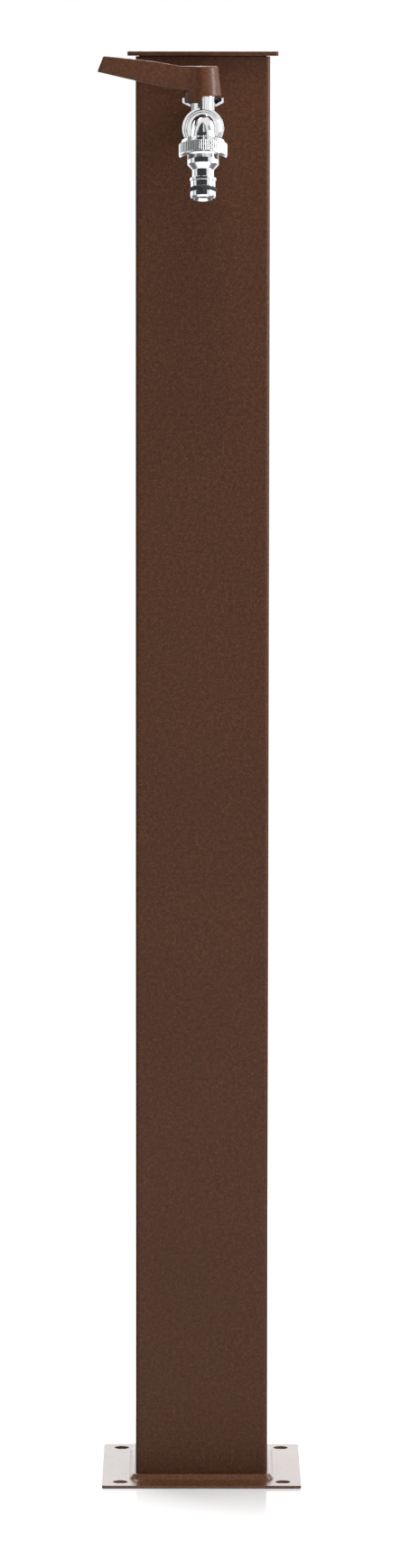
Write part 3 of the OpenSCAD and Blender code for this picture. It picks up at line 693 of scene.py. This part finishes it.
class FOUNTAIN_OT_lever(bpy.types.Operator):
    """Makes the cast lever with rounded edges"""
    bl_idname = "fountain.lever"
    bl_label = "Lever"

    def execute(self, context):
        remesh = {"mode": "VOXEL", "voxel_size": 0.5 * MM, "use_smooth_shade": True}
        relax = {"factor": 0.6, "iterations": 7}
        mesh = applied(merged_copy("lever"), ("REMESH", remesh), ("SMOOTH", relax))
        mesh.shade_smooth()
        show("lever", "cast", mesh, lever_paint())
        dress(plain_steel(), "lever_screw")
        return {"FINISHED"}


def ribbed_nut(fittings):
    """Union nut: a turned ring with a tapered rim and a plain band, and rounded ribs between them."""
    matrix = axis_frame(OUTLET, OUTLET_WAY)
    rings = rings_of("hose_nut", matrix)
    low = min(z for r, z in rings)
    high = max(z for r, z in rings)
    bore_r, rim_r = ring_at(rings, low)
    lip_r, outer_r = ring_at(rings, high)
    lip_low = max(z for r, z in rings if abs(r - bore_r) < RING_REACH)
    ribs_low = low + fittings.rim_taper
    ribs_high = high - fittings.band
    crest_r = max(r for r, z in rings if ribs_low <= z < high - 1.5 * fittings.band)
    ground_r = crest_r - fittings.rib_depth
    slope = fittings.rim_ease
    outline = [(bore_r, low), (rim_r, low), (ground_r, ribs_low), (ground_r, ribs_high),
               (outer_r, ribs_high), (outer_r, high - slope), (outer_r - 0.9 * slope, high),
               (lip_r, high), (lip_r, lip_low), (bore_r, lip_low)]
    ring = lathe(rounded(outline, fittings.edge), steps=144)
    pitch = 2 * pi * ground_r / fittings.nut_ribs
    ribs = grown(bar_ring_tree(), count=fittings.nut_ribs, radius=ground_r, low=ribs_low - fittings.edge,
                 length=ribs_high - ribs_low + 2 * fittings.edge, width=0.9 * pitch,
                 depth=fittings.rib_depth, material=chrome_plate())
    mesh = joined(ring, ribs)
    mesh.transform(matrix)
    return smooth(mesh, angle=40)


def turned_nipple(fittings):
    """Hose nipple turned with eased edges."""
    matrix = axis_frame(OUTLET, OUTLET_WAY)
    outline = turned_outline(rings_of("hose_nipple", matrix), NIPPLE_SPLIT)
    mesh = lathe(rounded(outline, fittings.edge))
    mesh.transform(matrix)
    return smooth(mesh, angle=40)


def threaded_stub(fittings):
    """Inlet stub: a turned barrel with its pipe thread on both sides of the outer lock nut."""
    (_, _, bottom), (_, _, top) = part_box("inlet_stub")
    matrix = axis_frame(Vector((0, 0, (bottom + top) / 2)), INLET_WAY)
    rings = rings_of("inlet_stub", matrix)
    low = min(z for r, z in rings)
    high = max(z for r, z in rings)
    bore_r, outer_r = ring_at(rings, low)
    root_r = outer_r - fittings.thread_depth
    relief_r = min(r for r, z in rings if r > bore_r + MM)
    relief = [z for r, z in rings if bore_r + MM < r < relief_r + RING_REACH]
    outline = [(bore_r, low), (root_r, low), (root_r, min(relief)), (relief_r, min(relief)),
               (relief_r, max(relief)), (root_r, max(relief)), (root_r, high), (bore_r, high)]
    barrel = lathe(rounded(outline, fittings.edge))
    half = fittings.thread_pitch / 2
    threads = [grown(thread_tree(), radius=root_r - fittings.edge,
                     depth=fittings.thread_depth + fittings.edge, pitch=fittings.thread_pitch,
                     low=start + half, length=end - start - 2 * half, material=turned_brass())
               for start, end in ((low, min(relief)), (max(relief), high))]
    mesh = joined(barrel, *threads)
    mesh.transform(matrix)
    return smooth(mesh, angle=40)


class FOUNTAIN_OT_hose_connector(bpy.types.Operator):
    """Makes the knurled union nut, the hose nipple and their seals"""
    bl_idname = "fountain.hose_connector"
    bl_label = "Hose connector"

    def execute(self, context):
        fittings = context.scene.fountain_fittings
        show("hose_nut", "ribbed", ribbed_nut(fittings), chrome_plate())
        show("hose_nipple", "plated", turned_nipple(fittings), chrome_plate())
        dress(black_rubber(), "nipple_gasket", "nipple_o_ring")
        return {"FINISHED"}


class FOUNTAIN_OT_pipework(bpy.types.Operator):
    """Makes the inlet and the pipework inside the column"""
    bl_idname = "fountain.pipework"
    bl_label = "Pipework"

    def execute(self, context):
        stub = threaded_stub(context.scene.fountain_fittings)
        show("inlet_stub", "threaded", stub, turned_brass())
        nuts = refined("inlet_lock_nuts", edge=0.3 * MM)
        show("inlet_lock_nuts", "turned", nuts, turned_brass())
        dress(turned_brass(), "tap_elbow", "riser_nuts", "riser_olives", "inlet_elbow")
        dress(plain_steel(), "riser_pipe", "lid_screws")
        dress(black_rubber(), "inlet_washer")
        return {"FINISHED"}


# Studio

def camera_turn(stage):
    """Rotation of a camera that looks along +Y, pitched down, yawed right and rolled."""
    sideways = Vector((cos(stage.camera_yaw), -sin(stage.camera_yaw), 0))
    ahead = Vector((sin(stage.camera_yaw), cos(stage.camera_yaw), 0))
    up = ahead * sin(stage.camera_pitch) + Vector((0, 0, cos(stage.camera_pitch)))
    right = sideways * cos(stage.camera_roll) + up * sin(stage.camera_roll)
    upward = up * cos(stage.camera_roll) - sideways * sin(stage.camera_roll)
    return Matrix((right, upward, right.cross(upward))).transposed().to_4x4()


def set_camera(stage):
    """Sets the camera at the place and angle of the settings."""
    data = bpy.data.cameras.new("camera")
    data.sensor_fit = "VERTICAL"
    data.sensor_height = 36
    data.lens = stage.lens_share * data.sensor_height
    data.clip_end = 50
    camera = bpy.data.objects.new("camera", data)
    camera.matrix_world = Matrix.Translation(stage.camera_place) @ camera_turn(stage)
    bpy.context.scene.collection.objects.link(camera)
    bpy.context.scene.camera = camera


def add_lamp(name, place, target, size, watts):
    """Adds a rectangular soft lamp that faces a point; only some lamps show in reflections."""
    data = bpy.data.lights.new(name, "AREA")
    data.shape = "RECTANGLE"
    data.size, data.size_y = size
    data.energy = watts
    lamp = bpy.data.objects.new(name, data)
    lamp.location = place
    lamp.rotation_euler = (Vector(target) - Vector(place)).to_track_quat("-Z", "Y").to_euler()
    lamp.visible_glossy = name in MIRRORED_LAMPS
    bpy.context.scene.collection.objects.link(lamp)


def turn_round_z(tree, place):
    """Turn of a place about z, in degrees from the front to the right."""
    return calc(tree, "DEGREES", calc(tree, "ARCTAN2", place[0], calc(tree, "MULTIPLY", place[1], -1.0)))


def studio_floor():
    """White floor that shows the object's shadow, and near the foot a faint reflection."""
    material, tree, shader, place = new_material("studio_floor")
    spot = add_node(tree, "ShaderNodeSeparateXYZ", None, Vector=place).outputs
    path = add_node(tree, "ShaderNodeLightPath").outputs
    away = calc(tree, "MAXIMUM", calc(tree, "ABSOLUTE", spot[0]), calc(tree, "ABSOLUTE", spot[1]))
    near = scaled(tree, away, FOOT_HALF, FOOT_HALF + FLOOR_SHINE, 1.0, 0.0)
    side = window(tree, calc(tree, "ABSOLUTE", turn_round_z(tree, spot)), *FLOOR_SIDES)
    beside = calc(tree, "MULTIPLY", side, path["Is Glossy Ray"])
    seen = calc(tree, "MAXIMUM", path["Is Camera Ray"], path["Is Glossy Ray"])
    glow = calc(tree, "MULTIPLY", scaled(tree, near, 0.0, 1.0, FLOOR_GLOW, 0.0),
                calc(tree, "SUBTRACT", 1.0, beside))
    tree.links.new(blended(tree, beside, FLOOR_COLOUR, FLOOR_DARK), shader.inputs["Base Color"])
    tree.links.new(near, shader.inputs["Specular IOR Level"])
    tree.links.new(calc(tree, "MULTIPLY", seen, glow), shader.inputs["Emission Strength"])
    shader.inputs["Roughness"].default_value = 0.12
    shader.inputs["Emission Color"].default_value = (1, 1, 1, 1)
    return material


def add_floor():
    """Adds the studio's floor at the height of the ground."""
    mesh = bpy.data.meshes.new("floor")
    far = FLOOR_HALF
    mesh.from_pydata([(-far, -far, 0), (far, -far, 0), (far, far, 0), (-far, far, 0)], [], [(0, 1, 2, 3)])
    mesh.materials.append(studio_floor())
    floor = bpy.data.objects.new("floor", mesh)
    bpy.context.scene.collection.objects.link(floor)


def set_world():
    """White surround with dark cards that only reflections see, and plain soft light for the rest."""
    world = bpy.data.worlds.new("studio")
    world.use_nodes = True
    tree = world.node_tree
    back = next(n for n in tree.nodes if n.type == "BACKGROUND")
    way = add_node(tree, "ShaderNodeSeparateXYZ", None,
                   Vector=add_node(tree, "ShaderNodeTexCoord").outputs["Generated"]).outputs
    turn = turn_round_z(tree, way)
    rise = calc(tree, "DEGREES", calc(tree, "ARCSINE", way[2]))
    dark = 0.0
    for turn_low, turn_high, rise_low, rise_high, depth, turn_soft, rise_soft in CARDS:
        card = calc(tree, "MULTIPLY", window(tree, turn, turn_low, turn_high, turn_soft),
                    window(tree, rise, rise_low, rise_high, rise_soft))
        dark = calc(tree, "MULTIPLY_ADD", card, depth, dark)
    mirrored = calc(tree, "SUBTRACT", 1.0, dark)
    path = add_node(tree, "ShaderNodeLightPath").outputs
    soft = add_node(tree, "ShaderNodeMix", {"data_type": "FLOAT"}, Factor=path["Is Glossy Ray"],
                    slot2=AMBIENT, slot3=mirrored).outputs[0]
    strength = add_node(tree, "ShaderNodeMix", {"data_type": "FLOAT"}, Factor=path["Is Camera Ray"],
                        slot2=soft, slot3=1.0).outputs[0]
    back.inputs["Color"].default_value = (1, 1, 1, 1)
    tree.links.new(strength, back.inputs["Strength"])
    bpy.context.scene.world = world


class FOUNTAIN_OT_studio(bpy.types.Operator):
    """Sets the camera, the floor and the lights"""
    bl_idname = "fountain.studio"
    bl_label = "Studio"

    def execute(self, context):
        set_camera(context.scene.fountain_stage)
        set_world()
        add_floor()
        for lamp in LAMPS:
            add_lamp(*lamp)
        context.scene.view_settings.view_transform = "Standard"
        return {"FINISHED"}


class FOUNTAIN_PT_panel(bpy.types.Panel):
    """Lists the fountain's settings and pieces"""
    bl_label = "Garden Tap Fountain"
    bl_idname = "FOUNTAIN_PT_panel"
    bl_space_type = "VIEW_3D"
    bl_region_type = "UI"
    bl_category = "Fountain"

    def draw(self, context):
        for name, kind in SETTINGS.items():
            box = self.layout.box()
            for label in kind.__annotations__:
                box.prop(getattr(context.scene, name), label)
        for operator in OPERATORS:
            self.layout.operator(operator.bl_idname)


SETTINGS = {"fountain_paint": PaintSettings, "fountain_metal": MetalSettings,
            "fountain_fittings": FittingSettings, "fountain_stage": StageSettings}
OPERATORS = (FOUNTAIN_OT_sheet_metal, FOUNTAIN_OT_tap, FOUNTAIN_OT_lever, FOUNTAIN_OT_hose_connector,
             FOUNTAIN_OT_pipework, FOUNTAIN_OT_studio)


def register():
    for kind in (*SETTINGS.values(), *OPERATORS, FOUNTAIN_PT_panel):
        bpy.utils.register_class(kind)
    for name, kind in SETTINGS.items():
        setattr(bpy.types.Scene, name, PointerProperty(type=kind))


def unregister():
    for name in SETTINGS:
        delattr(bpy.types.Scene, name)
    for kind in (FOUNTAIN_PT_panel, *reversed(OPERATORS), *SETTINGS.values()):
        bpy.utils.unregister_class(kind)


def main():
    register()
    bpy.ops.fountain.sheet_metal()
    bpy.ops.fountain.tap()
    bpy.ops.fountain.lever()
    bpy.ops.fountain.hose_connector()
    bpy.ops.fountain.pipework()
    bpy.ops.fountain.studio()


if __name__ == "__main__":
    main()
